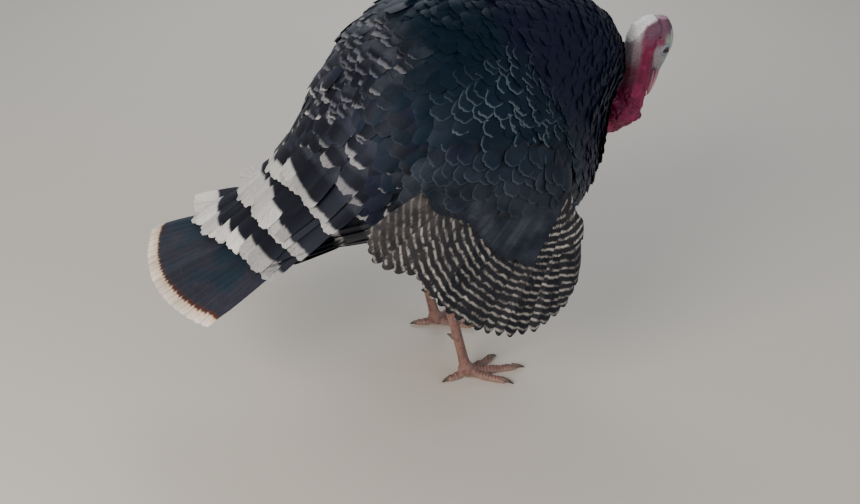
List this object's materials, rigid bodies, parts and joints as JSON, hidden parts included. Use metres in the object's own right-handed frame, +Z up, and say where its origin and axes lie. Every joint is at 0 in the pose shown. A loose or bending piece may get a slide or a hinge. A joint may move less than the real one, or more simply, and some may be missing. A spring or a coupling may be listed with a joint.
{
  "type": "domestic turkey",
  "caption": "Life-size standing domestic turkey tom with lowered wings and half-open lowered tail, head tucked down before the breast.",
  "frame": {"origin": "on the floor, below the middle of the bird's box", "axes": "+X the way the bird faces, +Y its left side, +Z up"},
  "size_m": [0.8706, 0.4578, 0.6642],
  "materials": {
    "plumage": "dark feathers with a blue-green sheen and grey edges",
    "coverts": "white-tipped feathers with black bands",
    "quills": "flight feathers barred black and white",
    "tail": "black tail feathers with a pale tip",
    "skin_red": "bare wrinkled crimson skin",
    "skin_pale": "bare bluish white skin",
    "leg": "scaled dusky pink skin",
    "bill": "pale horn",
    "claw": "dark horn",
    "eye": "wet dark brown",
    "beard": "stiff black bristles"
  },
  "bodies": {
    "root": {"trunk": "plumage", "neck_plumage": "plumage", "tail_coverts": "coverts", "tail_feathers": "tail", "wing_right_coverts": "plumage", "wing_right_primaries": "quills", "wing_right_secondaries": "quills", "wing_left_coverts": "plumage", "wing_left_primaries": "quills", "wing_left_secondaries": "quills", "neck": "skin_red", "caruncles": "skin_red", "snood": "skin_red", "head": "skin_pale", "eye_right": "eye", "eye_left": "eye", "bill_upper": "bill", "bill_lower": "bill", "beard": "beard", "thigh_right": "plumage", "thigh_left": "plumage", "shank_right": "leg", "shank_left": "leg", "foot_right": "leg", "foot_left": "leg", "spur_right": "claw", "spur_left": "claw", "claw_right_middle": "claw", "claw_right_outer": "claw", "claw_right_inner": "claw", "claw_right_hind": "claw", "claw_left_middle": "claw", "claw_left_outer": "claw", "claw_left_inner": "claw", "claw_left_hind": "claw"}
  },
  "joints": []
}
